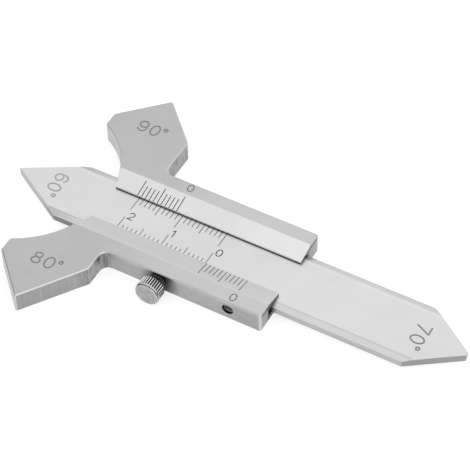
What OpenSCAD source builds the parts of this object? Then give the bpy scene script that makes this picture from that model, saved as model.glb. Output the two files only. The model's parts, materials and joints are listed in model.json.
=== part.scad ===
// Vernier gauge for weld seams: a pointed beam that slides in a C-shaped channel with two jaws.
// The gauge lies on its back. X runs along the beam towards the 70 degree point, Y runs across
// towards the 90 degree jaw, and Z rises out of the graduated face. The origin lies under the
// middle of the beam's length, on the plane of the slide's back.

/* [Beam] */
// Length of the beam over both points
beam_len = 99.25; // [95:0.05:115]
// Width of the beam
beam_w = 14.7; // [13.6:0.05:15.6]
// Thickness of the beam
beam_t = 1.85; // [1.4:0.05:2.2]
// Width of the long bevel on each side of the graduated flat
beam_bevel_w = 1.35; // [0.5:0.05:2.5]
// Drop of those bevels towards the beam's sides
beam_bevel_drop = 0.43; // [0.2:0.01:0.8]
// Full angle of the point at the jaws, in degrees
weld_point_angle = 60; // [50:1:90]
// Width of the blunt end of the point at the jaws
weld_point_flat = 0.17; // [0.1:0.01:1]
// Full angle of the point at the far end, in degrees
far_point_angle = 70; // [50:1:90]
// Width of the blunt end of the point at the far end
far_point_flat = 0.77; // [0.1:0.01:1.5]
// Broken edge round both points
beam_break = 0.12; // [0.05:0.01:0.2]

/* [Slide] */
// How far the beam's point stands out past the feet
point_out = 9.57; // [0:0.01:20]
// Length of the slide from the feet to the end of the rails
slide_len = 52.38; // [50:0.01:60]
// Thickness of the slide
slide_t = 4.75; // [4.4:0.05:6]
// Thickness of the lower rail's side wall, which carries both screws
rail_wall = 3.3; // [2.6:0.05:5]
// Thickness of the back plate under the beam
back_t = 1.36; // [0.9:0.01:1.6]
// How far each lip reaches over the beam
lip_reach = 2.9; // [1.5:0.1:4]
// Thickness of a lip at its thin edge
lip_edge_t = 0.49; // [0.3:0.01:0.7]
// Width of each rail's flat top, outside its vernier bevel
rail_flat_w = 3.15; // [1.5:0.05:4]
// Broken edge round the slide
slide_break = 0.2; // [0.1:0.01:0.4]

/* [Jaws] */
// Width over the outer corners of the two feet
feet_w = 42.14; // [41:0.01:48]
// How far the slanting seat beside a foot runs back, and as far outwards
seat_run = 8.8; // [7.5:0.1:10]
// Corner angle of the jaw for square seams, in degrees
square_jaw_angle = 90; // [80:1:95]
// Corner angle of the jaw for steep seams, in degrees
steep_jaw_angle = 80; // [75:1:95]
// Distance from the feet to the back of the jaws' necks
neck_from_feet = 17.63; // [16:0.01:20]
// Radius of the fillet between neck and rail
neck_fillet_r = 1.8; // [1:0.1:3]

/* [Mouth] */
// Radius of the round mouth between the jaws
mouth_r = 19.86; // [19:0.01:20.4]
// Depth of the mouth from the feet, on the centre line
mouth_depth = 10.94; // [9:0.01:12]

/* [Strip] */
// Thickness of the pressure strip
strip_t = 0.85; // [0.6:0.01:0.95]
// Distance from each end of the strip to the end of the channel
strip_inset = 1; // [0.5:0.1:4]
// Room for the strip between the beam and the channel's wall
strip_room = 1.1; // [1.05:0.01:1.5]
// Width of the dimples that the screws press on
dimple_d = 0.9; // [0.8:0.05:1]
// Depth of the dimples
dimple_depth = 0.2; // [0.1:0.01:0.3]

/* [Lock screw] */
// Distance from the feet to the lock screw
lock_from_feet = 29.78; // [24:0.01:36]
// Height of both screws above the slide's back
screws_up = 2.6; // [2.4:0.01:2.7]
// Width of the lock screw's shank
shank_d = 3; // [2.4:0.1:3.2]
// Width of the knurled head over its ridges
knob_d = 5.16; // [4.4:0.01:5.2]
// Bare neck between the rail and the head
neck_len = 1.6; // [0.5:0.1:4]
// Length of the knurled grip
grip_len = 2.05; // [1:0.05:4]
// Length of the plain collar in front of the grip
collar_len = 0.68; // [0.3:0.01:1.5]
// Length over which the collar keeps the grip's width before it tapers to the face
collar_band = 0.15; // [0.05:0.01:0.25]
// Width of the head's face
face_d = 4.86; // [4:0.01:4.95]
// Rise of the domed face
face_rise = 0.15; // [0.05:0.01:0.3]
// Number of grooves in the grip
grip_grooves = 30; // [20:1:36]
// Depth of those grooves
groove_depth = 0.2; // [0.1:0.01:0.22]

/* [Set screw] */
// Distance from the end of the rails to the set screw
set_from_end = 7.19; // [4:0.01:12]
// Width of the set screw
set_d = 2.34; // [1.8:0.01:2.5]
// How deep the set screw lies below the side of the rail
set_sunk = 0.35; // [0.1:0.01:1]
// Width of its slot
slot_w = 0.4; // [0.2:0.01:0.6]
// Depth of its slot
slot_depth = 0.6; // [0.3:0.01:1]

/* [Fits] */
// Clearance over the beam, under the lips
lift_clearance = 0.07; // [0.02:0.01:0.1]
// Clearance beside the beam, at the plain wall and at the strip
side_clearance = 0.03; // [0.01:0.01:0.05]
// Clearance over the strip, under the lip
strip_clearance = 0.1; // [0.05:0.01:0.2]
// Clearance round each screw
screw_clearance = 0.05; // [0.02:0.01:0.1]
// Gap between a screw's tip and the bottom of its dimple
tip_gap = 0.03; // [0.01:0.01:0.05]

/* [Hidden] */
$fn = 96;
// How far every cut runs past the face that it leaves
over = 0.5;
// How far a round cut runs past the arc that it follows, in degrees
over_angle = 6;
// Angle between the feet and the slanting seats
seat_angle = 45;
// Broken edge at the back of the grip, and at the end of each screw's body
screw_break = 0.15;
// How far the body of a screw stays back from the channel
body_back = 0.2;

// The feet, where the slide stands on the plate, at the beam's present place
feet_x = point_out - beam_len / 2;
beam_top = back_t + beam_t;
ceiling = beam_top + lift_clearance;
lip_top = ceiling + lip_edge_t;
plain_wall = beam_w / 2 + side_clearance;
strip_wall = beam_w / 2 + strip_room;
strip_outer = beam_w / 2 + side_clearance + strip_t;
// Both rails reach as far out from the centre line
rail_y = strip_wall + rail_wall;
lip_y = beam_w / 2 - lip_reach;
bevel_y = rail_y - rail_flat_w;
set_from_feet = slide_len - set_from_end;
strip_top = ceiling - strip_clearance;
mouth_x = mouth_depth - mouth_r;
jaw_y = feet_w / 2 + seat_run;

// Distance of a neck's outer end from the centre line, where the jaw's back edge meets it
function neck_y(jaw_angle) = jaw_y - (neck_from_feet - seat_run) * tan(180 - seat_angle - jaw_angle);

// Half the width of a round hole, where a chord crosses it at the given distance from its centre
function half_chord(r, away) = sqrt(r * r - away * away);

// Cuts the top edge of a wall that runs from a to b, with the solid on the left of that line
module edge_cut(a, b, top, inward, down, over_a = over, over_b = over) {
    run = b - a;
    rise = over * down / inward;
    translate([a.x, a.y, top])
        rotate([0, 0, atan2(run.y, run.x)])
            rotate([90, 0, 90])
                translate([0, 0, -over_a])
                    linear_extrude(norm(run) + over_a + over_b)
                        polygon([[-over, -down - rise], [inward + over, rise], [-over, rise]]);
}

// Cuts the top edge of a round inner wall, from the angle start through the angle turn
module round_edge_cut(r, top, leg, start = 0, turn = 360) {
    translate([0, 0, top])
        rotate([0, 0, start])
            rotate_extrude(angle = turn)
                polygon([[r - over, -leg - over], [r + leg + over, over], [r - over, over]]);
}

// Round bore across the lower rail, from its side to the channel
module rail_bore(from_feet, d) {
    translate([from_feet, -rail_y - over, screws_up])
        rotate([-90, 0, 0])
            cylinder(d = d + 2 * screw_clearance, h = rail_wall + 2 * over);
}

// Outline of the slide before the mouth is cut, anticlockwise from the lower end of the rails
slide_outline = [
    [slide_len, -rail_y],
    [slide_len, rail_y],
    [neck_from_feet, rail_y],
    [neck_from_feet, neck_y(square_jaw_angle)],
    [seat_run, jaw_y],
    [0, feet_w / 2],
    [0, -feet_w / 2],
    [seat_run, -jaw_y],
    [neck_from_feet, -neck_y(steep_jaw_angle)],
    [neck_from_feet, -rail_y]
];

// Fills the corner between a neck and its rail; side is 1 at the square jaw and -1 at the other
module neck_fillet(side) {
    centre = [neck_from_feet + neck_fillet_r, side * (rail_y + neck_fillet_r)];
    corner = [neck_from_feet - over, side > 0 ? rail_y - over : -rail_y - neck_fillet_r];
    difference() {
        translate([corner.x, corner.y, 0])
            cube([neck_fillet_r + over, neck_fillet_r + over, slide_t]);
        translate([centre.x, centre.y, -over])
            cylinder(r = neck_fillet_r, h = slide_t + 2 * over);
    }
}

// Cuts the upper edges all round the slide
module slide_edge_cuts() {
    count = len(slide_outline);
    for (i = [0 : count - 1]) {
        a = slide_outline[i];
        b = slide_outline[(i + 1) % count];
        along = (b - a) / norm(b - a);
        // The two inner corners carry fillets, so the straight cuts stop where those begin
        from_fillet = a.x == neck_from_feet && abs(a.y) == rail_y;
        to_fillet = b.x == neck_from_feet && abs(b.y) == rail_y;
        edge_cut(
            from_fillet ? a + neck_fillet_r * along : a,
            to_fillet ? b - neck_fillet_r * along : b,
            slide_t, slide_break, slide_break,
            from_fillet ? 0 : over,
            to_fillet ? 0 : over
        );
    }
    // The round cuts run past the fillets' ends, where the straight ones have cleared the edge
    for (side = [-1, 1])
        translate([neck_from_feet + neck_fillet_r, side * (rail_y + neck_fillet_r), 0])
            round_edge_cut(
                neck_fillet_r, slide_t, slide_break,
                (side > 0 ? 180 : 90) - over_angle,
                90 + 2 * over_angle
            );
    translate([mouth_x, 0, 0])
        round_edge_cut(mouth_r, slide_t, slide_break);
}

// The beam's channel: undercut below both lips, wider by the strip's room on the lower side,
// and open upwards between the two vernier bevels
module channel() {
    open_y = bevel_y + over * (bevel_y - lip_y) / (slide_t - lip_top);
    translate([-over, 0, 0])
        rotate([90, 0, 90])
            linear_extrude(slide_len + 2 * over)
                polygon([
                    [-strip_wall, back_t],
                    [plain_wall, back_t],
                    [plain_wall, ceiling],
                    [lip_y, ceiling],
                    [lip_y, lip_top],
                    [open_y, slide_t + over],
                    [-open_y, slide_t + over],
                    [-lip_y, lip_top],
                    [-lip_y, ceiling],
                    [-strip_wall, ceiling]
                ]);
}

// The slide in one piece: rails, back plate and both jaws
module slide_body() {
    color("gainsboro")
        translate([feet_x, 0, 0])
            difference() {
                union() {
                    linear_extrude(slide_t)
                        polygon(slide_outline);
                    for (side = [-1, 1])
                        neck_fillet(side);
                }
                translate([mouth_x, 0, -over])
                    cylinder(r = mouth_r, h = slide_t + 2 * over);
                channel();
                rail_bore(lock_from_feet, shank_d);
                rail_bore(set_from_feet, set_d);
                slide_edge_cuts();
                translate([0, 0, slide_t])
                    mirror([0, 0, 1])
                        slide_edge_cuts();
            }
}

// The flat beam: two points, two long bevels beside the graduated flat, broken edges at the points
module beam() {
    half = beam_w / 2;
    end = beam_len / 2;
    weld_x = (half - weld_point_flat / 2) / tan(weld_point_angle / 2) - end;
    far_x = end - (half - far_point_flat / 2) / tan(far_point_angle / 2);
    outline = [
        [-end, weld_point_flat / 2],
        [-end, -weld_point_flat / 2],
        [weld_x, -half],
        [far_x, -half],
        [end, -far_point_flat / 2],
        [end, far_point_flat / 2],
        [far_x, half],
        [weld_x, half]
    ];
    color("whitesmoke")
        difference() {
            translate([0, 0, back_t])
                linear_extrude(beam_t)
                    polygon(outline);
            edge_cut([-end, -half], [end, -half], beam_top, beam_bevel_w, beam_bevel_drop);
            edge_cut([end, half], [-end, half], beam_top, beam_bevel_w, beam_bevel_drop);
            for (i = [0, 1, 3, 4, 5, 7])
                edge_cut(outline[i], outline[(i + 1) % len(outline)], beam_top, beam_break, beam_break);
        }
}

// The pressure strip: a flat bar with round ends and a dimple for each screw
module gib_strip() {
    // The channel's lower wall starts where the round mouth crosses it
    start = mouth_x + half_chord(mouth_r, strip_wall) + strip_inset;
    end = slide_len - strip_inset;
    height = strip_top - back_t;
    color("dimgray")
        translate([feet_x, -strip_outer, 0])
            difference() {
                union() {
                    translate([start + height / 2, 0, back_t])
                        cube([end - start - height, strip_t, height]);
                    for (x = [start + height / 2, end - height / 2])
                        translate([x, 0, back_t + height / 2])
                            rotate([-90, 0, 0])
                                cylinder(d = height, h = strip_t);
                }
                for (x = [lock_from_feet, set_from_feet])
                    translate([x, -over, screws_up])
                        rotate([-90, 0, 0])
                            cylinder(d = dimple_d, h = over + dimple_depth);
            }
}

// Places a screw: its axis points out of the lower rail's side, with zero at that side
module in_rail(from_feet) {
    translate([feet_x + from_feet, -rail_y, screws_up])
        rotate([90, 0, 0])
            children();
}

// Depths below the rail's side that both screws share
tip_depth = rail_y - strip_outer + dimple_depth - tip_gap;
body_depth = rail_wall - body_back;
tip_r = dimple_d / 2 - screw_clearance;

// The thumb screw: pin tip, shank, bare neck, knurled grip, plain collar and domed face
module lock_screw() {
    shank_r = shank_d / 2;
    knob_r = knob_d / 2;
    grip_end = neck_len + grip_len;
    rim = grip_end + collar_len;
    crown = rim + face_rise;
    taper = (knob_d - face_d) / 2 / (collar_len - collar_band);
    dome_r = (pow(face_d / 2, 2) + pow(face_rise, 2)) / (2 * face_rise);
    color("darkgray")
        in_rail(lock_from_feet)
            difference() {
                intersection() {
                    rotate_extrude()
                        polygon([
                            [0, -tip_depth],
                            [tip_r, -tip_depth],
                            [tip_r, -body_depth],
                            [shank_r - screw_break, -body_depth],
                            [shank_r, screw_break - body_depth],
                            [shank_r, neck_len],
                            [knob_r - screw_break, neck_len],
                            [knob_r, neck_len + screw_break],
                            [knob_r, grip_end + collar_band],
                            [face_d / 2 - taper * face_rise, crown],
                            [0, crown]
                        ]);
                    translate([0, 0, crown - dome_r])
                        sphere(r = dome_r);
                }
                for (i = [0 : grip_grooves - 1])
                    rotate([0, 0, i * 360 / grip_grooves])
                        translate([knob_r, 0, neck_len - over])
                            rotate([0, 0, 45])
                                translate([-groove_depth / sqrt(2), -groove_depth / sqrt(2), 0])
                                    cube([groove_depth * sqrt(2), groove_depth * sqrt(2), grip_len + over]);
            }
}

// The slotted grub screw, sunk in the rail
module set_screw() {
    set_r = set_d / 2;
    color("gray")
        in_rail(set_from_feet)
            difference() {
                rotate_extrude()
                    polygon([
                        [0, -tip_depth],
                        [tip_r, -tip_depth],
                        [tip_r, -body_depth],
                        [set_r - screw_break, -body_depth],
                        [set_r, screw_break - body_depth],
                        [set_r, -set_sunk - screw_break],
                        [set_r - screw_break, -set_sunk],
                        [0, -set_sunk]
                    ]);
                translate([-set_d, -slot_w / 2, -set_sunk - slot_depth])
                    cube([2 * set_d, slot_w, slot_depth + over]);
            }
}

slide_body();
beam();
gib_strip();
lock_screw();
set_screw();
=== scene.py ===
"""The looks of a vernier gauge for weld seams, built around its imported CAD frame.

Meshes are made in millimetres, in the frame's own axes, and scaled to metres as the last step.
"""

import json
import math

import bmesh
import bpy
from mathutils import Matrix, Vector


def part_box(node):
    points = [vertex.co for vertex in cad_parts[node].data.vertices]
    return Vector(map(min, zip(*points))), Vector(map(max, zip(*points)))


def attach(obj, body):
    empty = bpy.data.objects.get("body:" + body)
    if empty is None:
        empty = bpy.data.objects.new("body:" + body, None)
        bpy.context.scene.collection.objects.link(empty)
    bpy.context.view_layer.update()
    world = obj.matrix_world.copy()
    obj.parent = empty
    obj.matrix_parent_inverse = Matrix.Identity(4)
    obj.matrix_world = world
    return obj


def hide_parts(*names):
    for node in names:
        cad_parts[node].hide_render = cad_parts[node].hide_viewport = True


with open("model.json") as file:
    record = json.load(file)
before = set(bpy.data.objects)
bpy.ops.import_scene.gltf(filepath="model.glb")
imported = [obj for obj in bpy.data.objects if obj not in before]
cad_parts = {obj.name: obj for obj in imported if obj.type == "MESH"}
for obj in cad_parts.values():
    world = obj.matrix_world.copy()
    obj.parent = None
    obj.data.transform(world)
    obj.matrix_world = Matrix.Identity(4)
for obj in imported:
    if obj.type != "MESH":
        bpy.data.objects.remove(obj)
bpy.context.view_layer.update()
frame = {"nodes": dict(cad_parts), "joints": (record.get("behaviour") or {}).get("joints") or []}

MM = 0.001

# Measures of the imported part, in millimetres. LOCK_SEAT is where the thumb screw's axis leaves the
# lower rail.
lock_low, lock_high = (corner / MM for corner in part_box("lock_screw"))
lock_joint = next(joint for joint in frame["joints"] if joint["name"] == "lock_turn")
KNOB_R = (lock_high.z - lock_low.z) / 2
LOCK_SEAT = Vector(lock_joint["pos_m"]) / MM
RAIL_SIDE = -LOCK_SEAT.y
SLIDE_TOP = (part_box("slide_body")[1] / MM).z
BEAM_TOP = (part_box("beam")[1] / MM).z

# Camera: where it stands was fitted to the graduations and the outline in the photograph. Its
# distance and target are in millimetres, and what it clips in metres.
PHOTO_PX = 470
SENSOR_MM = 36
FOCAL_PX = 1968.484
VIEW_AZIMUTH = math.radians(30.1038)
VIEW_ELEVATION = math.radians(48.6175)
VIEW_ROLL = math.radians(-1.1481)
VIEW_DISTANCE = 389.739
VIEW_TARGET = Vector((-3.9626, 7.3851, 0))
CLIP_START = 0.01
CLIP_END = 10

# Light: a glowing white table under a bright ceiling and back wall, with a dim room in front.
# Lengths are in metres. ROOM_STEPS are the room's levels from its dim side to its bright one, and
# OVERHEAD is the height, as a share, over which the ceiling gets brighter still.
TABLE_HALF = 1.5
TABLE_DROP = 0.00002
TABLE_TONE = 0.45
TABLE_GLOW = 0.68
TABLE_ROUGHNESS = 0.9
TABLE_SHINE = 0.1
BRIGHT_SIDE = Vector((0.35, 0.55, 0.75)).normalized()
ROOM_STEPS = ((0.0, 0.8), (0.1, 0.82), (0.45, 0.95), (0.62, 1.0), (1.0, 1.06))
OVERHEAD = (0.5, 1)
OVERHEAD_LIFT = 1.12
SOFTBOX_SIDE = (0.71, -0.30, 0.62)
SOFTBOX_DISTANCE = 1.2
SOFTBOX_SIZE = 0.8
SOFTBOX_POWER = 1.1

# Graduations, in millimetres: the main scale on the beam and a vernier on each lip. The ends of a
# scale are where its marks stop in Y: every tenth one, every fifth one and the others.
SCALE_ZERO_X = -4.025
SCALE_DIVISIONS = 20
UNDER_LIP = 5.6
UPPER_ENDS = (0.9, 1.9, 2.7)
LOWER_ENDS = (-1.2, -2.3, -3.2)
UPPER_VERNIER_X = -15.525
LOWER_VERNIER_X = 5.545
VERNIER_STEP = 0.9
VERNIER_DIVISIONS = 10
VERNIER_ENDS = (8.0, 8.0, 7.0)
TICK_WIDTH = 0.14
UPPER_TICK_WIDTH = 0.18
ZERO_WIDTH = 0.16
FIGURE_WIDTH = 0.2
ANGLE_WIDTH = 0.34
ENGRAVED_DEPTH = 0.07
DEPTH_STEP = 0.0007
DEPTH_STEPS = 11
WALL_INSET = 0.02
PAST_EDGE = 0.25

# Figures, in millimetres: heights over the strokes, and where each text starts in X and Y
FIGURE_H = 1.95
ANGLE_H = 3.1
BASE_LINE = -1.58
BEAM_FIGURES = (("0", 0.42), ("1", -9.68), ("2", -19.5))
BEAM_ANGLES = (("60°", -42.15, 2.62), ("70°", 38.5, 2.42))
VERNIER_ZEROS = ((-16.3, 9.4), (4.87, -11.12))
JAW_ANGLES = (("90°", -33.93, 19.2), ("80°", -33.63, -21.1))

# Edges, in millimetres. LONG_EDGE is a share of the slide's height, and SLANT holds the least and
# the most that a slanting edge rises, as shares of its length.
LONG_EDGE = 0.8
CORNER_ROUND = 0.38
CORNER_SEGMENTS = 5
EDGE_ROUND = 0.05
EDGE_SEGMENTS = 2
SLANT = (0.5, 0.9)
FLAT_ANGLE = math.radians(2.2)
HARD_ANGLE = math.radians(30)
CREASE_ANGLE = math.radians(5)
RIM_ANGLE = math.radians(50)
WELD = 0.0005
SLIVER = 0.0002

# Thumb screw, in millimetres. Places along its axis count outwards from the rail's side.
NECK_END = 1.6
GRIP_END = 3.65
COLLAR_BAND = 0.15
LINE_START = 4.0
LINE_END = 4.18
LINE_DEPTH = 0.16
RIM = 4.33
CROWN = 4.48
BODY_START = -3.1
TIP_START = -3.69
TIP_R = 0.4
SHANK_R = 1.5
FACE_R = 2.43
GRIP_BREAK = 0.15
GRIP_RUN_OUT = 0.12
SHOULDER = 0.02
LINE_BREAK = 0.03
LINE_LIP = 0.06
THREAD_PITCH = 0.5
THREAD_DEPTH = 0.24
THREAD_END = 1.35
THREAD_RUN_OUT = 0.03
THREAD_STEPS = 8
GRIP_RIDGES = 30
RIDGE_STEPS = 10
GROOVE_DEPTH = 0.2
GROOVE_WIDENING = 0.6
FACE_RINGS = 9

# Finishes, in the order of every piece's material slots
FINISHES = range(13)
LEVEL, BEVEL, UPRIGHT, SIDE, END, MOUTH, LIP, FLOOR, HOLLOW, EDGE, CORNER, ANGLES, MARKS = FINISHES
# Finishes of the thumb screw
# The first of the screw's finishes is painted shade, near black: on the pin tip, the thread, the
# neck, the back of the head and the line before the face.
DARK_SHADED, KNURLED, TURNED, FACED = range(4)

# Shares of a normal or an edge along an axis, which tell how a face or an edge stands
FLAT = 0.995
SQUARE_ON = 0.99
MOSTLY = 0.9
GENTLE = 0.85
PARTLY = 0.8
STEEP = 0.3
LEANING = 0.2
TILTED = 0.1

# Where the faces of the slide's channel and of its right end lie, in millimetres
CHANNEL_START = -25
CHANNEL_Z = (0.1, 4)
RAIL_SKIN = 0.05
STRIP_SIDE = -8.45
LIPS_WITHIN = 5
RIGHT_PART = 12


# Camera, floor and light

def add_object(name, data):
    made = bpy.data.objects.new(name, data)
    bpy.context.scene.collection.objects.link(made)
    return made


def make_camera():
    """The photograph's own view of the gauge."""
    data = bpy.data.cameras.new("photo_camera")
    data.sensor_width = SENSOR_MM
    data.lens = FOCAL_PX * SENSOR_MM / PHOTO_PX
    data.clip_start = CLIP_START
    data.clip_end = CLIP_END
    camera = add_object("photo_camera", data)
    back = Vector((
        math.sin(VIEW_AZIMUTH) * math.cos(VIEW_ELEVATION),
        -math.cos(VIEW_AZIMUTH) * math.cos(VIEW_ELEVATION),
        math.sin(VIEW_ELEVATION),
    ))
    level_right = Vector((math.cos(VIEW_AZIMUTH), math.sin(VIEW_AZIMUTH), 0))
    level_up = back.cross(level_right)
    right = math.cos(VIEW_ROLL) * level_right + math.sin(VIEW_ROLL) * level_up
    up = math.cos(VIEW_ROLL) * level_up - math.sin(VIEW_ROLL) * level_right
    turn = Matrix((right, up, back)).transposed().to_4x4()
    place = MM * (VIEW_TARGET + VIEW_DISTANCE * back)
    camera.matrix_world = Matrix.Translation(place) @ turn
    bpy.context.scene.camera = camera


def make_floor():
    """A plain white table top just under the gauge, lit a little from below."""
    mesh = bpy.data.meshes.new("floor")
    corners = [(x, y, -TABLE_DROP) for x, y in (
        (-TABLE_HALF, -TABLE_HALF),
        (TABLE_HALF, -TABLE_HALF),
        (TABLE_HALF, TABLE_HALF),
        (-TABLE_HALF, TABLE_HALF),
    )]
    mesh.from_pydata(corners, [], [(0, 1, 2, 3)])
    floor = add_object("floor", mesh)
    material = bpy.data.materials.new("white_table")
    material.use_nodes = True
    shader = material.node_tree.nodes["Principled BSDF"]
    shader.inputs["Base Color"].default_value = (TABLE_TONE, TABLE_TONE, TABLE_TONE, 1)
    shader.inputs["Roughness"].default_value = TABLE_ROUGHNESS
    shader.inputs["Specular IOR Level"].default_value = TABLE_SHINE
    shader.inputs["Emission Color"].default_value = (1, 1, 1, 1)
    shader.inputs["Emission Strength"].default_value = TABLE_GLOW
    mesh.materials.append(material)


def make_softbox():
    """A square area light in front of the gauge's right end, turned towards it."""
    data = bpy.data.lights.new("softbox", "AREA")
    data.shape = "SQUARE"
    data.size = SOFTBOX_SIZE
    data.energy = SOFTBOX_POWER
    light = add_object("softbox", data)
    away = Vector(SOFTBOX_SIDE).normalized()
    turn = away.to_track_quat("Z", "Y").to_matrix().to_4x4()
    light.matrix_world = Matrix.Translation(away * SOFTBOX_DISTANCE) @ turn


class Nodes:
    """Adds nodes to a tree, wired up as they are made."""

    def __init__(self, tree):
        self.tree = tree

    def add(self, kind, inputs=None, **settings):
        """Adds a node. Each input is a value or another node's output."""
        node = self.tree.nodes.new(kind)
        for name, value in settings.items():
            setattr(node, name, value)
        for name, value in (inputs or {}).items():
            if isinstance(value, bpy.types.NodeSocket):
                self.tree.links.new(value, node.inputs[name])
            else:
                node.inputs[name].default_value = value
        return node

    def mapped(self, value, source, target):
        """Maps the band source linearly onto the band target, and holds its ends."""
        return self.add("ShaderNodeMapRange", {
            "Value": value,
            "From Min": source[0],
            "From Max": source[1],
            "To Min": target[0],
            "To Max": target[1],
        }).outputs["Result"]

    def math(self, operation, a, b):
        return self.add("ShaderNodeMath", {0: a, 1: b}, operation=operation).outputs[0]

    def vector(self, operation, a, b, output="Vector"):
        return self.add("ShaderNodeVectorMath", {0: a, 1: b}, operation=operation).outputs[output]


def make_world():
    """An even studio room, bright above and behind the gauge and dim in front of it."""
    world = bpy.data.worlds.new("studio")
    world.use_nodes = True
    nodes = Nodes(world.node_tree)
    direction = nodes.add("ShaderNodeTexCoord").outputs["Generated"]
    height = nodes.add("ShaderNodeSeparateXYZ", {0: direction}).outputs["Z"]
    ramp = nodes.add("ShaderNodeValToRGB", {
        "Fac": nodes.vector("DOT_PRODUCT", direction, BRIGHT_SIDE, "Value"),
    })
    stops = ramp.color_ramp.elements
    for place, level in ROOM_STEPS[1:-1]:
        stops.new(place)
    for stop, (place, level) in zip(stops, ROOM_STEPS):
        stop.position = place
        stop.color = (level, level, level, 1)
    background = world.node_tree.nodes["Background"]
    world.node_tree.links.new(ramp.outputs["Color"], background.inputs["Color"])
    lift = nodes.mapped(height, OVERHEAD, (1, OVERHEAD_LIFT))
    world.node_tree.links.new(lift, background.inputs["Strength"])
    bpy.context.scene.world = world
    bpy.context.scene.view_settings.view_transform = "Standard"


# Materials

# What the noise nodes give lies mostly in this band
NOISE_BAND = (0.25, 0.75)
NOISE_ROUGHNESS = 0.6
MARK_DETAIL = 5
PATCH_DETAIL = 2
PATCH_RATE = (0.12, 0.12, 0.12)
DULLEST = 1.15
SHINIEST = 0.85
BUMP_HEIGHT = 0.02
RING_DISTORTION = 1.5

# Grain: how fast tool marks change along X, Y and Z, per millimetre
LENGTHWISE = (0.08, 4, 4)
UPRIGHT_GRAIN = (2.5, 2.5, 0.05)
SOFT_GRAIN = (0.7, 0.7, 0.9)
EVEN = (3, 3, 3)


class Metal(Nodes):
    """A bare steel surface. Its pattern is laid out in millimetres."""

    def __init__(self, name):
        self.material = bpy.data.materials.new(name)
        self.material.use_nodes = True
        super().__init__(self.material.node_tree)
        self.shader = self.tree.nodes["Principled BSDF"]
        in_metres = self.add("ShaderNodeTexCoord").outputs["Object"]
        self.place = self.vector("MULTIPLY", in_metres, (1 / MM,) * 3)

    def noise(self, rate, detail):
        """Noise that changes at the given rates along X, Y and Z."""
        return self.add("ShaderNodeTexNoise", {
            "Vector": self.vector("MULTIPLY", self.place, rate),
            "Scale": 1,
            "Detail": detail,
            "Roughness": NOISE_ROUGHNESS,
        }).outputs["Fac"]

    def along(self, axis):
        """The place along X, Y or Z."""
        return self.add("ShaderNodeSeparateXYZ", {0: self.place}).outputs[axis]

    def from_axis(self, point):
        """Distance from the line along Y through a point."""
        away = self.vector("SUBTRACT", self.place, point)
        square = self.vector("MULTIPLY", away, (1, 0, 1))
        return self.vector("LENGTH", square, (0, 0, 0), "Value")

    def rings(self, point, pitch):
        """Lathe rings round the line along Y through a point."""
        return self.add("ShaderNodeTexWave", {
            "Vector": self.vector("SUBTRACT", self.place, point),
            "Scale": 1 / pitch,
            "Distortion": RING_DISTORTION,
        }, wave_type="RINGS", rings_direction="Y").outputs["Fac"]


def metal(
    name, tone, roughness, grain, streak=0.06, bump=0.05, broad=0.03, factor=None, relief=None
):
    """Bare steel with tool marks.

    streak is how far the marks change the tone, and broad how far slow patches do. factor and
    relief make one more factor of the tone and one more height from the surface's nodes.
    """
    surface = Metal(name)
    marks = surface.noise(grain, MARK_DETAIL)
    patches = surface.noise(PATCH_RATE, PATCH_DETAIL)
    shade = surface.math(
        "MULTIPLY",
        surface.mapped(marks, NOISE_BAND, (tone * (1 - streak), tone * (1 + streak))),
        surface.mapped(patches, NOISE_BAND, (1 - broad, 1 + broad)),
    )
    if factor:
        shade = surface.math("MULTIPLY", shade, factor(surface))
    colour = surface.add("ShaderNodeCombineColor", {"Red": shade, "Green": shade, "Blue": shade})
    height = surface.math("ADD", marks, relief(surface)) if relief else marks
    bumped = surface.add("ShaderNodeBump", {
        "Strength": bump,
        "Distance": BUMP_HEIGHT * MM,
        "Height": height,
    })
    dullness = surface.mapped(marks, NOISE_BAND, (roughness * SHINIEST, roughness * DULLEST))
    inputs = surface.shader.inputs
    inputs["Metallic"].default_value = 1
    surface.tree.links.new(colour.outputs["Color"], inputs["Base Color"])
    surface.tree.links.new(dullness, inputs["Roughness"])
    surface.tree.links.new(bumped.outputs["Normal"], inputs["Normal"])
    return surface.material


# Wear, dirt, and painted light and shade. From the place on a piece, each function makes a factor
# of its steel's tone. What mapped() gets is a band of places, in millimetres, and the factors at
# that band's two ends.

LINE_HALF_WIDTH = (0.06, 0.25)
LATHE_PITCH = 1.1
# The painted shade round the thumb screw's neck is centred this far from the screw's seat.
SCREW_SHADE_SHIFT = Vector((0.45, 0, -0.6))
LOWER_BEVEL = 0.95


def lit_right_shaded_seat(surface):
    """The slide's flats get painted light, brighter over the right half, and a painted shade line
    along the steep jaw's seat.
    """
    bright = surface.mapped(surface.along("X"), (-25, -8), (0.94, 1.06))
    inwards = surface.math("ADD", surface.along("X"), surface.along("Y"))
    return surface.math("MULTIPLY", bright, surface.mapped(inwards, (-60.75, -60.5), (0.3, 1)))


def upper_bevel_highlight(surface):
    """Painted highlight: the vernier bevel beside the square jaw is brighter than the other, most at
    its right.
    """
    upper = surface.mapped(surface.along("Y"), (-1, 1), (0, 1))
    brighter_rightwards = surface.mapped(surface.along("X"), (-4, 10), (1.115, 1.2))
    return surface.math("MAXIMUM", LOWER_BEVEL, surface.math("MULTIPLY", upper, brighter_rightwards))


def edge_light_and_screw_shade(surface):
    """A rail's side gets darker towards its right end and a painted highlight along its upper edge;
    the lower rail's side gets painted shade round the thumb screw's neck.
    """
    darker_rightwards = surface.mapped(surface.along("X"), (1, 8), (1.03, 0.92))
    edge = surface.mapped(surface.along("Z"), (4.05, 4.45), (1, 1.26))
    tone_and_edge_light = surface.math("MULTIPLY", darker_rightwards, edge)
    from_screw_shade = surface.from_axis(LOCK_SEAT + SCREW_SHADE_SHIFT)
    near_screw = surface.mapped(from_screw_shade, (1.6, 4.5), (0.13, 1))
    other_rail = surface.mapped(surface.along("Y"), (-1, 1), (0, 1))
    return surface.math("MULTIPLY", tone_and_edge_light, surface.math("MAXIMUM", near_screw, other_rail))


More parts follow.
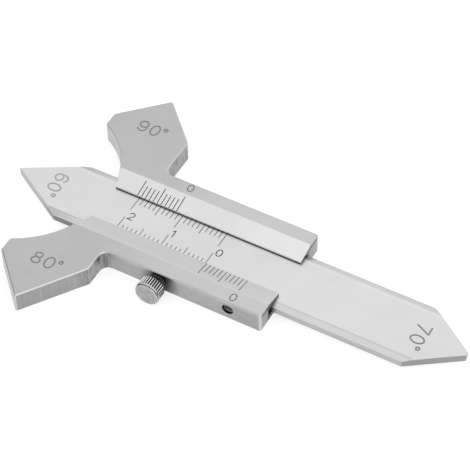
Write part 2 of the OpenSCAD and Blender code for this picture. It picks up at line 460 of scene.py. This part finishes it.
def shaded_rail_ends(surface):
    """Painted shade on the rails' ends: a dark band along their upper edge, darker towards the lips'
    feet, and near black below the lips across the channel's opening.
    """
    across = surface.math("ABSOLUTE", surface.along("Y"), 0)
    height = surface.along("Z")
    rim = surface.mapped(across, (4.45, 8.6), (3.77, SLIDE_TOP))
    depth = surface.math("SUBTRACT", rim, height)
    band = surface.mapped(depth, (0.95, 1.3), (0.4, 1))
    inwards = surface.mapped(across, (6, 10.5), (0.65, 1))
    under_lip = surface.mapped(height, (3.3, 3.5), (0.03, 1))
    past_channel = surface.math(
        "MAXIMUM",
        surface.mapped(surface.along("Y"), (7.55, 7.7), (0, 1)),
        surface.mapped(surface.along("Y"), (-9.0, -8.8), (1, 0)),
    )
    at_the_back = surface.mapped(height, (0.45, 0.7), (1, 0))
    around = surface.math("MAXIMUM", past_channel, at_the_back)
    foot = surface.math("MAXIMUM", under_lip, around)
    return surface.math("MULTIPLY", band, surface.math("MULTIPLY", inwards, foot))


def faint_on_the_left(surface):
    """The angle of the beam's left point is engraved more lightly than the others."""
    return surface.mapped(surface.along("X"), (-40, -37), (1.5, 1))


def chattered_neck(surface):
    """The cutter chattered in the round corner between each jaw and its rail."""
    near = surface.mapped(surface.along("X"), (-24.2, -21.8), (0, 1))
    dents = surface.mapped(surface.noise((1.9, 1.9, 0.35), 4), (0.42, 0.62), (0, 0.5))
    return surface.math("SUBTRACT", 1, surface.math("MULTIPLY", near, dents))


def line_along(surface, y, level):
    """A fine line along the beam at y, level times as bright as the steel beside it."""
    away = surface.math("ABSOLUTE", surface.math("SUBTRACT", surface.along("Y"), y), 0)
    return surface.mapped(away, LINE_HALF_WIDTH, (level, 1))


def crease_light_lines(surface):
    """Painted lines along both creases of the beam's flat: a painted highlight along the upper one
    and a painted shade line along the lower one.
    """
    lower = line_along(surface, -6.05, 0.86)
    upper = line_along(surface, 5.45, 1.06)
    return surface.math("MULTIPLY", lower, upper)


def darker_left_bevel(surface):
    """The beam's bevels carry the painted crease lines, and are darker towards the left point."""
    left = surface.mapped(surface.along("X"), (-37.5, -31), (0.79, 1))
    return surface.math("MULTIPLY", left, crease_light_lines(surface))


def shaded_in_the_mouth(surface):
    """Painted shade on the beam's sides between the jaws, lighter towards the left point and gone
    towards the slide.
    """
    along = surface.along("X")
    from_the_tip = surface.mapped(along, (-40.5, -37.5), (0.9, 0.5))
    return surface.math("MAXIMUM", from_the_tip, surface.mapped(along, (-33, -30), (0.5, 1)))


def shaded_tips(surface):
    """Painted shade: the right tip's sides are darker than the left tip's, and the left tip is
    darker still at its lower corner.
    """
    usual = surface.mapped(surface.along("X"), (-40, 40), (0.4, 0.31))
    corner = surface.math(
        "MAXIMUM",
        surface.mapped(surface.along("Y"), (-6.8, -4.6), (0.5, 1)),
        surface.mapped(surface.along("X"), (-30, -20), (0, 1)),
    )
    return surface.math("MULTIPLY", usual, corner)


def shaded_floor_corners(surface):
    """Painted shade in the corners of the channel's floor."""
    across = surface.math("ABSOLUTE", surface.along("Y"), 0)
    return surface.mapped(across, (6.6, 7.3), (1, 0.08))


def shaded_lip_foot(surface):
    """Painted shade: the lips' edges go black where the beam passes under them. Their bright tone
    above is a painted highlight.
    """
    return surface.mapped(surface.along("Z"), (3.39, 3.52), (0.05, 1))


def shaded_grooves(surface):
    """Painted shade in the grip's grooves."""
    ridge = (KNOB_R - 0.75 * GROOVE_DEPTH, KNOB_R - 0.2 * GROOVE_DEPTH)
    return surface.mapped(surface.from_axis(LOCK_SEAT), ridge, (0.03, 1))


def lathe_rings(surface):
    """The height of the rings that turning left on the screw's face."""
    return surface.rings(LOCK_SEAT, LATHE_PITCH)


def scuffed_face_rim_highlight(surface):
    """The screw's face is mottled by handling, with a painted highlight round its rim."""
    scuffs = surface.mapped(surface.noise((1.6, 1.6, 1.6), 3), (0.35, 0.65), (0.78, 1.02))
    rim = surface.mapped(surface.from_axis(LOCK_SEAT), (1.9, 2.4), (1, 1.12))
    return surface.math("MULTIPLY", scuffs, rim)


def palette(usual, special):
    """A material for every finish: the special ones, and the usual one for all others."""
    return [special.get(finish, usual) for finish in FINISHES]


# Steels: their tones, how dull they are and how they were worked

def slide_steels(marks, angle_marks):
    milled = metal(
        "slide_milled", 0.33, 0.28, UPRIGHT_GRAIN, streak=0.17, bump=0.1, factor=chattered_neck,
    )
    ground = metal("slide_ground", 0.51, 0.36, LENGTHWISE, streak=0.07, factor=lit_right_shaded_seat)
    vernier = metal(
        "slide_vernier", 0.62, 0.36, LENGTHWISE, streak=0.04, factor=upper_bevel_highlight,
    )
    return palette(milled, {
        LEVEL: ground,
        BEVEL: vernier,
        SIDE: metal("slide_side", 0.39, 0.42, SOFT_GRAIN, streak=0.12, factor=edge_light_and_screw_shade),
        END: metal("slide_end", 0.32, 0.32, SOFT_GRAIN, streak=0.15, factor=shaded_rail_ends),
        MOUTH: metal("slide_mouth", 0.43, 0.3, UPRIGHT_GRAIN, streak=0.07),
        # The lips' edges get a bright tone as a painted highlight, and painted shade at their foot.
        LIP: metal("slide_lip", 0.8, 0.35, LENGTHWISE, factor=shaded_lip_foot),
        FLOOR: metal("slide_floor", 0.42, 0.36, LENGTHWISE, streak=0.1, factor=shaded_floor_corners),
        # Painted shade: the channel's inner walls are near black.
        HOLLOW: metal("slide_hollow", 0.1, 0.45, LENGTHWISE, streak=0.15),
        EDGE: metal("slide_edge", 0.55, 0.3, LENGTHWISE),
        CORNER: metal("slide_corner", 0.55, 0.32, UPRIGHT_GRAIN),
        ANGLES: angle_marks,
        MARKS: marks,
    })


def beam_steels(marks, angle_marks):
    tip = metal("beam_tip", 1, 0.34, LENGTHWISE, streak=0.08, factor=shaded_tips)
    return palette(tip, {
        SIDE: metal("beam_milled", 0.45, 0.34, LENGTHWISE, streak=0.08, factor=shaded_in_the_mouth),
        LEVEL: metal("beam_ground", 0.665, 0.32, LENGTHWISE, streak=0.025, factor=crease_light_lines),
        BEVEL: metal("beam_bevel", 0.6, 0.34, LENGTHWISE, streak=0.05, factor=darker_left_bevel),
        EDGE: metal("beam_edge", 0.6, 0.3, LENGTHWISE),
        CORNER: metal("beam_corner", 0.6, 0.3, UPRIGHT_GRAIN),
        ANGLES: angle_marks,
        MARKS: marks,
    })


def strip_steels():
    return palette(metal("strip_steel", 0.06, 0.45, LENGTHWISE, streak=0.1), {
        EDGE: metal("strip_edge", 0.12, 0.4, LENGTHWISE),
    })


def grub_steels():
    return palette(metal("grub_steel", 0.16, 0.4, EVEN, streak=0.2), {
        EDGE: metal("grub_edge", 0.3, 0.35, EVEN),
    })


def screw_steels():
    """The thumb screw's materials, in the order of its own finishes."""
    return [
        # Painted shade: near black on the pin tip, thread, neck, back of the head and the line
        # before the face.
        metal("screw_painted_shade", 0.06, 0.4, EVEN, streak=0.15),
        metal("screw_knurled", 0.85, 0.2, EVEN, factor=shaded_grooves),
        metal("screw_turned", 0.55, 0.24, EVEN, streak=0.15),
        metal(
            "screw_face", 0.4, 0.3, EVEN, streak=0.2, bump=0.12, factor=scuffed_face_rim_highlight,
            relief=lathe_rings,
        ),
    ]


# Mesh work in millimetres

def cad_copy(node):
    """A closed copy of a CAD node. The borders of its CAD faces are its hard edges."""
    work = bmesh.new()
    work.from_mesh(frame["nodes"][node].data)
    bmesh.ops.scale(work, vec=(1 / MM,) * 3, verts=work.verts)
    for face in work.faces:
        face.smooth = True
        face.material_index = 0
    for edge in work.edges:
        edge.smooth = not edge.is_boundary
    bmesh.ops.remove_doubles(work, verts=work.verts, dist=WELD)
    bmesh.ops.dissolve_limit(
        work, angle_limit=FLAT_ANGLE, verts=work.verts, edges=work.edges, delimit={"SHARP"}
    )
    for edge in work.edges:
        if edge.calc_face_angle(0) < FLAT_ANGLE:
            edge.smooth = True
    return work


def slide_finish(face, reach):
    """The finish of a face that its slope alone doesn't tell, on the slide, or None.

    reach is how far the rails' sides are from the middle.
    """
    centre = face.calc_center_bounds()
    normal = face.normal
    in_channel = centre.x > CHANNEL_START and CHANNEL_Z[0] < centre.z < CHANNEL_Z[1]
    inside = in_channel and abs(centre.y) < reach - RAIL_SKIN
    if inside and normal.z > MOSTLY:
        return FLOOR
    if inside and (centre.y < STRIP_SIDE or abs(normal.x) < PARTLY):
        on_lip = abs(normal.y) > MOSTLY and abs(centre.y) < LIPS_WITHIN
        return LIP if on_lip else HOLLOW
    if normal.x > SQUARE_ON and centre.x > RIGHT_PART:
        return END
    if normal.x < -LEANING and normal.y * centre.y < 0:
        return MOUTH
    return None


def slope_finish(face):
    """The finish that a face's slope tells."""
    level = abs(face.normal.z)
    if level > FLAT:
        return LEVEL
    if level > GENTLE:
        return BEVEL
    if level > STEEP:
        return EDGE
    return SIDE if abs(face.normal.y) > SQUARE_ON else UPRIGHT


def sort_faces(work, reach):
    """Gives every face its finish. reach is None for all pieces but the slide."""
    for face in work.faces:
        special = slide_finish(face, reach) if reach else None
        face.material_index = slope_finish(face) if special is None else special


def corner_edges(work, shortest):
    """The convex upright edges over a given length, and the slanting edges at their ends."""
    hard = [edge for edge in work.edges if not edge.smooth and edge.calc_face_angle(0) > HARD_ANGLE]
    chosen = set()
    ends = set()
    for edge in hard:
        run = edge.verts[1].co - edge.verts[0].co
        upright = abs(run.z) > SQUARE_ON * run.length
        if upright and run.length > shortest and edge.is_convex:
            chosen.add(edge)
            ends.update(edge.verts)
    for edge in hard:
        run = edge.verts[1].co - edge.verts[0].co
        slants = SLANT[0] * run.length < abs(run.z) < SLANT[1] * run.length
        if slants and ends.intersection(edge.verts):
            chosen.add(edge)
    return chosen


def round_off(work, edges, width, segments, finish, clamp):
    """Rounds edges off. clamp keeps one round from running into the next."""
    bmesh.ops.bevel(
        work, geom=list(edges), offset=width, offset_type="OFFSET", affect="EDGES",
        segments=segments, profile=0.5, clamp_overlap=clamp, material=finish,
    )


def breaks(edge):
    """Whether an edge gets broken: a hard one that isn't deep in a hollow."""
    deep = all(face.material_index in (HOLLOW, LIP) for face in edge.link_faces)
    return edge.calc_face_angle(0) > HARD_ANGLE and not deep


def round_edges(work, shortest):
    """Rounds the upright corners, breaks every other hard edge and marks what stays sharp."""
    round_off(work, corner_edges(work, shortest), CORNER_ROUND, CORNER_SEGMENTS, CORNER, False)
    round_off(work, filter(breaks, work.edges), EDGE_ROUND, EDGE_SEGMENTS, EDGE, True)
    flats = (LEVEL, BEVEL)
    for edge in work.edges:
        between_flats = all(face.material_index in flats for face in edge.link_faces)
        edge.smooth = not (between_flats and edge.calc_face_angle(0) > CREASE_ANGLE)
    for face in work.faces:
        face.smooth = True


def to_object(work, name, materials):
    """Makes a scene object, still in millimetres, from a bmesh."""
    mesh = bpy.data.meshes.new(name)
    work.to_mesh(mesh)
    work.free()
    for material in materials:
        mesh.materials.append(material)
    return add_object(name, mesh)


def apply_modifiers(piece):
    """Replaces the mesh with what its modifiers make of it."""
    graph = bpy.context.evaluated_depsgraph_get()
    made = bpy.data.meshes.new_from_object(piece.evaluated_get(graph))
    piece.modifiers.clear()
    old = piece.data
    piece.data = made
    bpy.data.meshes.remove(old)
    made.name = piece.name


def engrave(piece, cutters):
    """Cuts every layer of strokes into the piece. The grooves keep the cutters' finish."""
    for work, _ in cutters.layers:
        cutter = to_object(work, "cutter", piece.data.materials)
        cut = piece.modifiers.new("engraving", "BOOLEAN")
        cut.operation = "DIFFERENCE"
        cut.solver = "EXACT"
        cut.material_mode = "INDEX"
        cut.object = cutter
        apply_modifiers(piece)
        bpy.data.meshes.remove(cutter.data)


def harden(work, angle):
    """Marks every edge over the given angle as hard."""
    for edge in work.edges:
        if edge.calc_face_angle(0) > angle:
            edge.smooth = False


def to_metres(piece):
    piece.data.transform(Matrix.Scale(MM, 4))


def finish_mesh(piece):
    """Clears slivers, marks the grooves' rims as hard, evens the shading and scales to metres."""
    work = bmesh.new()
    work.from_mesh(piece.data)
    bmesh.ops.remove_doubles(work, verts=work.verts, dist=SLIVER)
    bmesh.ops.dissolve_degenerate(work, dist=SLIVER, edges=work.edges)
    loose = [vertex for vertex in work.verts if not vertex.link_faces]
    bmesh.ops.delete(work, geom=loose, context="VERTS")
    harden(work, RIM_ANGLE)
    work.to_mesh(piece.data)
    work.free()
    even = piece.modifiers.new("even_shading", "WEIGHTED_NORMAL")
    even.keep_sharp = True
    even.weight = 100
    apply_modifiers(piece)
    to_metres(piece)


# Engraving

def arc(centre, radii, start, end, steps=12):
    """Points on an elliptical arc. Angles are in degrees, anticlockwise."""
    points = []
    for i in range(steps + 1):
        angle = math.radians(start + (end - start) * i / steps)
        x = centre[0] + radii[0] * math.cos(angle)
        y = centre[1] + radii[1] * math.sin(angle)
        points.append((x, y))
    return points


def ring(centre, radii, steps=28):
    return arc(centre, radii, 0, 360, steps)


# Each glyph is its width and its strokes, in shares of its height. A stroke that ends where it
# starts is a closed ring.
NINE_TAIL = arc((0.32, 0.32), (0.32, 0.32), 0, -150)
GLYPHS = {
    "0": (0.66, [ring((0.33, 0.5), (0.33, 0.5))]),
    "1": (0.26, [[(0.26, 0), (0.26, 1)], [(0.26, 1), (0, 0.84)]]),
    "2": (0.62, [
        arc((0.31, 0.7), (0.3, 0.3), 165, -30) + [(0, 0)],
        [(0, 0), (0.62, 0)],
    ]),
    "6": (0.64, [
        ring((0.32, 0.3), (0.32, 0.3)),
        [(0.01, 0.32)] + [(0.64 - x, 1 - y) for x, y in NINE_TAIL],
    ]),
    "7": (0.65, [[(0, 1), (0.65, 1)], [(0.65, 1), (0.17, 0)]]),
    "8": (0.64, [ring((0.32, 0.77), (0.27, 0.23)), ring((0.32, 0.27), (0.32, 0.27))]),
    "9": (0.64, [
        ring((0.32, 0.7), (0.32, 0.3)),
        [(0.63, 0.68)] + NINE_TAIL,
    ]),
    "°": (0.26, [ring((0.13, 0.87), (0.13, 0.13), 16)]),
}
FIGURE_GAP = 0.36
DEGREE_GAP = 0.26
SAME_PLACE = 1e-6


def surface_plane(origin, right, up):
    """The plane that an engraving lies in: right and up are the directions along it."""
    right = Vector(right).normalized()
    up = Vector(up).normalized()
    normal = right.cross(up)
    return Matrix.Translation(Vector(origin)) @ Matrix((right, up, normal)).transposed().to_4x4()


class Cutters:
    """The bodies that engraved strokes are cut with, in layers whose bodies don't touch."""

    def __init__(self):
        self.layers = []
        self.count = 0

    def next_depth(self):
        """Every stroke is a little deeper than the one before, so no two bottoms share a plane."""
        self.count += 1
        return ENGRAVED_DEPTH + DEPTH_STEP * (self.count % DEPTH_STEPS)

    def layer_for(self, corners):
        """The first layer where nothing is in the way of a body with the given corners."""
        low = Vector(min(corner[i] for corner in corners) for i in range(3))
        high = Vector(max(corner[i] for corner in corners) for i in range(3))

        def is_free(boxes):
            return not any(
                all(low[i] <= other_high[i] and other_low[i] <= high[i] for i in range(3))
                for other_low, other_high in boxes
            )

        for work, boxes in self.layers:
            if is_free(boxes):
                boxes.append((low, high))
                return work
        self.layers.append((bmesh.new(), [(low, high)]))
        return self.layers[-1][0]

    def add(self, sections, closed, finish):
        """Adds a closed body through the given sections, which all have as many corners."""
        work = self.layer_for([corner for section in sections for corner in section])
        rings = [[work.verts.new(corner) for corner in section] for section in sections]
        following = rings[1:] + rings[:1] if closed else rings[1:]
        made = []
        for a, b in zip(rings, following):
            for k in range(len(a)):
                n = (k + 1) % len(a)
                made.append(work.faces.new((a[k], b[k], b[n], a[n])))
        if not closed:
            made.append(work.faces.new(rings[0]))
            made.append(work.faces.new(rings[-1]))
        for face in made:
            face.material_index = finish
        bmesh.ops.recalc_face_normals(work, faces=made)


def groove(cutters, plane, path, width, finish):
    """Adds the cutter of one engraved stroke along a path in the plane."""
    closed = math.dist(path[0], path[-1]) < SAME_PLACE
    points = [Vector((x, y)) for x, y in (path[:-1] if closed else path)]
    count = len(points)
    depth = cutters.next_depth()
    sections = []
    for i, point in enumerate(points):
        before = points[i - 1] if closed or i else point
        after = points[(i + 1) % count] if closed or i < count - 1 else point
        along = (after - before).normalized()
        across = Vector((-along.y, along.x))
        section = []
        for side, level in ((1, 1), (-1, 1), (-1, -1), (1, -1)):
            foot = point + side * (width / 2 + level * WALL_INSET) * across
            section.append(plane @ Vector((foot.x, foot.y, level * depth)))
        sections.append(section)
    cutters.add(sections, closed, finish)


def round_end(cutters, plane, point, width, finish, steps=12):
    """Adds the round end of a stroke: a short frustum."""
    depth = cutters.next_depth()
    sections = []
    for level in (1, -1):
        radius = width / 2 + level * WALL_INSET
        rim = ring(point, (radius, radius), steps)[:-1]
        sections.append([plane @ Vector((x, y, level * depth)) for x, y in rim])
    cutters.add(sections, False, finish)


def figures(cutters, plane, text, height, width, finish):
    """Adds figures whose first one starts at the plane's origin, on its base line.

    height is over the outside of the strokes, and width is how wide the strokes are.
    """
    inner = height - width
    x = width / 2
    for place, letter in enumerate(text):
        wide, strokes = GLYPHS[letter]
        ends = set()
        for path in strokes:
            points = [(x + u * inner, width / 2 + v * inner) for u, v in path]
            groove(cutters, plane, points, width, finish)
            if path[0] != path[-1]:
                ends.update((points[0], points[-1]))
        for end in sorted(ends):
            round_end(cutters, plane, end, width, finish)
        following = text[place + 1 : place + 2]
        gap = DEGREE_GAP if following == "°" else FIGURE_GAP
        x += (wide + gap) * inner


def tick(cutters, plane, x, y_from, y_to, width=TICK_WIDTH):
    groove(cutters, plane, [(x, y_from), (x, y_to)], width, MARKS)


def mark_end(ends, i):
    """Where mark i of a scale stops, by the ends of every tenth one, every fifth and the others."""
    tenth, fifth, other = ends
    if i % 10 == 0:
        return tenth
    return fifth if i % 5 == 0 else other


def beam_engraving(top):
    """The cutters of the beam's scale, its figures and the angles of its two points."""
    cutters = Cutters()
    face = surface_plane((0, 0, top), (1, 0, 0), (0, 1, 0))
    for i in range(SCALE_DIVISIONS + 1):
        x = SCALE_ZERO_X - i
        tick(cutters, face, x, UNDER_LIP, mark_end(UPPER_ENDS, i))
        tick(cutters, face, x, -UNDER_LIP, mark_end(LOWER_ENDS, i))
    for text, left in BEAM_FIGURES:
        place = surface_plane((SCALE_ZERO_X + left, BASE_LINE, top), (1, 0, 0), (0, 1, 0))
        figures(cutters, place, text, FIGURE_H, FIGURE_WIDTH, MARKS)
    for text, x, y in BEAM_ANGLES:
        place = surface_plane((x, y, top), (0, -1, 0), (1, 0, 0))
        figures(cutters, place, text, ANGLE_H, ANGLE_WIDTH, ANGLES)
    return cutters


def slide_engraving(top, lips):
    """The cutters of both verniers, their zeros and the angles of the two jaws.

    lips holds the edges of the vernier bevels, as lip_edges finds them.
    """
    cutters = Cutters()
    for side, zero_x, width in (
        (1, UPPER_VERNIER_X, UPPER_TICK_WIDTH),
        (-1, LOWER_VERNIER_X, TICK_WIDTH),
    ):
        lip, crest = lips[side]
        slope = Vector((0, crest.x - lip.x, crest.y - lip.y))
        right = Vector((side, 0, 0))
        face = surface_plane((0, lip.x, lip.y), right, slope)
        stretch = slope.length / abs(slope.y)
        for i in range(VERNIER_DIVISIONS + 1):
            end = (mark_end(VERNIER_ENDS, i) - abs(lip.x)) * stretch
            tick(cutters, face, side * (zero_x - VERNIER_STEP * i), -PAST_EDGE, end, width)
    for x, y in VERNIER_ZEROS:
        place = surface_plane((x, y, top), (1, 0, 0), (0, 1, 0))
        figures(cutters, place, "0", FIGURE_H, ZERO_WIDTH, MARKS)
    for text, x, y in JAW_ANGLES:
        place = surface_plane((x, y, top), (1, 0, 0), (0, 1, 0))
        figures(cutters, place, text, ANGLE_H, ANGLE_WIDTH, ANGLES)
    return cutters


def lip_edges(node):
    """For each rail, the (y, z) of its vernier bevel's lower and upper edge, from the frame."""
    mesh = frame["nodes"][node].data
    found = {}
    for side in (1, -1):
        spots = [
            mesh.vertices[index].co / MM
            for polygon in mesh.polygons
            if MOSTLY < polygon.normal.z < SQUARE_ON and polygon.normal.y * side < -TILTED
            for index in polygon.vertices
        ]
        low = min(spots, key=lambda spot: spot.z)
        high = max(spots, key=lambda spot: spot.z)
        found[side] = (Vector((low.y, low.z)), Vector((high.y, high.z)))
    return found


# Pieces

def hand_over(piece, node, body):
    """Lets the piece stand for its CAD node."""
    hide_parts(node)
    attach(piece, body)


def ground_piece(name, node, materials, cutters=None, shortest=math.inf, reach=None):
    """A ground piece: the CAD node's shape with broken edges and engraved marks.

    Upright corners longer than shortest are rounded off. reach is the slide's alone.
    """
    work = cad_copy(node)
    sort_faces(work, reach)
    round_edges(work, shortest)
    piece = to_object(work, name, materials)
    if cutters:
        engrave(piece, cutters)
    finish_mesh(piece)
    return piece


def plain(radius):
    """A radius that is the same at every turn."""
    return lambda turn: radius


def ridged(radius, depth):
    """A radius with the grip's ridges, whose grooves are as deep as depth."""
    def at(turn):
        wave = 0.5 - 0.5 * math.cos(turn * GRIP_RIDGES)
        return radius - depth * wave ** GROOVE_WIDENING
    return at


def thread(along):
    """The radius of the screw's thread at a place along its axis."""
    def at(turn):
        phase = (along / THREAD_PITCH + turn / math.tau) % 1
        return SHANK_R - THREAD_DEPTH * abs(2 * phase - 1)
    return at


def shank_rows():
    """The pin tip, the thread and the bare neck, as (place along the axis, radius, finish)."""
    root = plain(SHANK_R - THREAD_DEPTH)
    rows = [
        (TIP_START, plain(TIP_R), DARK_SHADED),
        (BODY_START, plain(TIP_R), DARK_SHADED),
        (BODY_START, root, DARK_SHADED),
    ]
    length = THREAD_END - BODY_START
    steps = round(length / THREAD_PITCH * THREAD_STEPS)
    for i in range(steps + 1):
        along = BODY_START + length * i / steps
        rows.append((along, thread(along), DARK_SHADED))
    rows.append((THREAD_END + THREAD_RUN_OUT, root, DARK_SHADED))
    rows.append((NECK_END, root, DARK_SHADED))
    return rows


def head_rows(knob_r):
    """The knurled grip, the collar and the domed face, in rows like the shank's.

    The grip's inner edge is broken in two steps.
    """
    half_broken = ridged(knob_r - 0.5 * GRIP_BREAK, GROOVE_DEPTH * 0.7)
    rows = [
        (NECK_END, ridged(knob_r - GRIP_BREAK, GROOVE_DEPTH * 0.5), KNURLED),
        (NECK_END + 0.3 * GRIP_BREAK, half_broken, KNURLED),
        (NECK_END + GRIP_BREAK, ridged(knob_r, GROOVE_DEPTH), KNURLED),
        (GRIP_END - GRIP_RUN_OUT, ridged(knob_r, GROOVE_DEPTH), KNURLED),
        (GRIP_END, plain(knob_r - SHOULDER), TURNED),
        (GRIP_END + COLLAR_BAND, plain(knob_r), TURNED),
        (LINE_START, plain(knob_r - LINE_BREAK), DARK_SHADED),
        (LINE_START + LINE_BREAK, plain(knob_r - LINE_DEPTH), DARK_SHADED),
        (LINE_END - LINE_BREAK, plain(knob_r - LINE_DEPTH), DARK_SHADED),
        (LINE_END, plain(knob_r - LINE_LIP), TURNED),
        (0.5 * (LINE_END + RIM), plain(0.5 * (knob_r + FACE_R) - SHOULDER), TURNED),
    ]
    dome_r = (FACE_R ** 2 + (CROWN - RIM) ** 2) / (2 * (CROWN - RIM))
    for i in range(FACE_RINGS):
        r = FACE_R * (1 - i / FACE_RINGS)
        rows.append((CROWN - dome_r + math.sqrt(dome_r ** 2 - r * r), plain(r), FACED))
    return rows


def add_face(work, corners, finish):
    work.faces.new(corners).material_index = finish


def turn_on_lathe(rows, seat, segments):
    """A closed body of the given rows round an axis along -Y through seat."""
    work = bmesh.new()
    rings = []
    for along, radius, finish in rows:
        rings.append([
            work.verts.new((
                seat.x + radius(turn) * math.cos(turn),
                seat.y - along,
                seat.z + radius(turn) * math.sin(turn),
            ))
            for turn in (math.tau * k / segments for k in range(segments))
        ])
    for i in range(len(rows) - 1):
        a, b = rings[i], rings[i + 1]
        for k in range(segments):
            n = (k + 1) % segments
            add_face(work, (a[k], a[n], b[n], b[k]), rows[i][2])
    add_face(work, rings[0], rows[0][2])
    crown = work.verts.new((seat.x, seat.y - CROWN, seat.z))
    last = rings[-1]
    for k in range(segments):
        add_face(work, (last[k], last[(k + 1) % segments], crown), rows[-1][2])
    bmesh.ops.recalc_face_normals(work, faces=work.faces)
    for face in work.faces:
        face.smooth = True
    harden(work, HARD_ANGLE)
    return work


def make_thumb_screw(materials, seat, knob_r):
    """The thumb screw, turned round the axis that it moves on."""
    rows = shank_rows() + head_rows(knob_r)
    work = turn_on_lathe(rows, seat, GRIP_RIDGES * RIDGE_STEPS)
    piece = to_object(work, "thumb_screw_knurled", materials)
    to_metres(piece)
    return piece


make_camera()
make_floor()
make_world()
make_softbox()

marks = metal("engraved_mark", 0.045, 0.7, EVEN)
angle_marks = metal("engraved_angle", 0.32, 0.6, EVEN, factor=faint_on_the_left)
slide_materials = slide_steels(marks, angle_marks)
beam_materials = beam_steels(marks, angle_marks)
strip_materials = strip_steels()
grub_materials = grub_steels()
screw_materials = screw_steels()

slide_cutters = slide_engraving(SLIDE_TOP, lip_edges("slide_body"))
slide = ground_piece(
    "slide_engraved", "slide_body", slide_materials, slide_cutters,
    shortest=LONG_EDGE * SLIDE_TOP, reach=RAIL_SIDE,
)
hand_over(slide, "slide_body", "slide")
beam = ground_piece("beam_engraved", "beam", beam_materials, beam_engraving(BEAM_TOP))
hand_over(beam, "beam", "beam")
strip = ground_piece("pressure_strip", "gib_strip", strip_materials)
hand_over(strip, "gib_strip", "slide")
grub = ground_piece("grub_screw", "set_screw", grub_materials)
hand_over(grub, "set_screw", "slide")
screw = make_thumb_screw(screw_materials, LOCK_SEAT, KNOB_R)
hand_over(screw, "lock_screw", "thumb_screw")
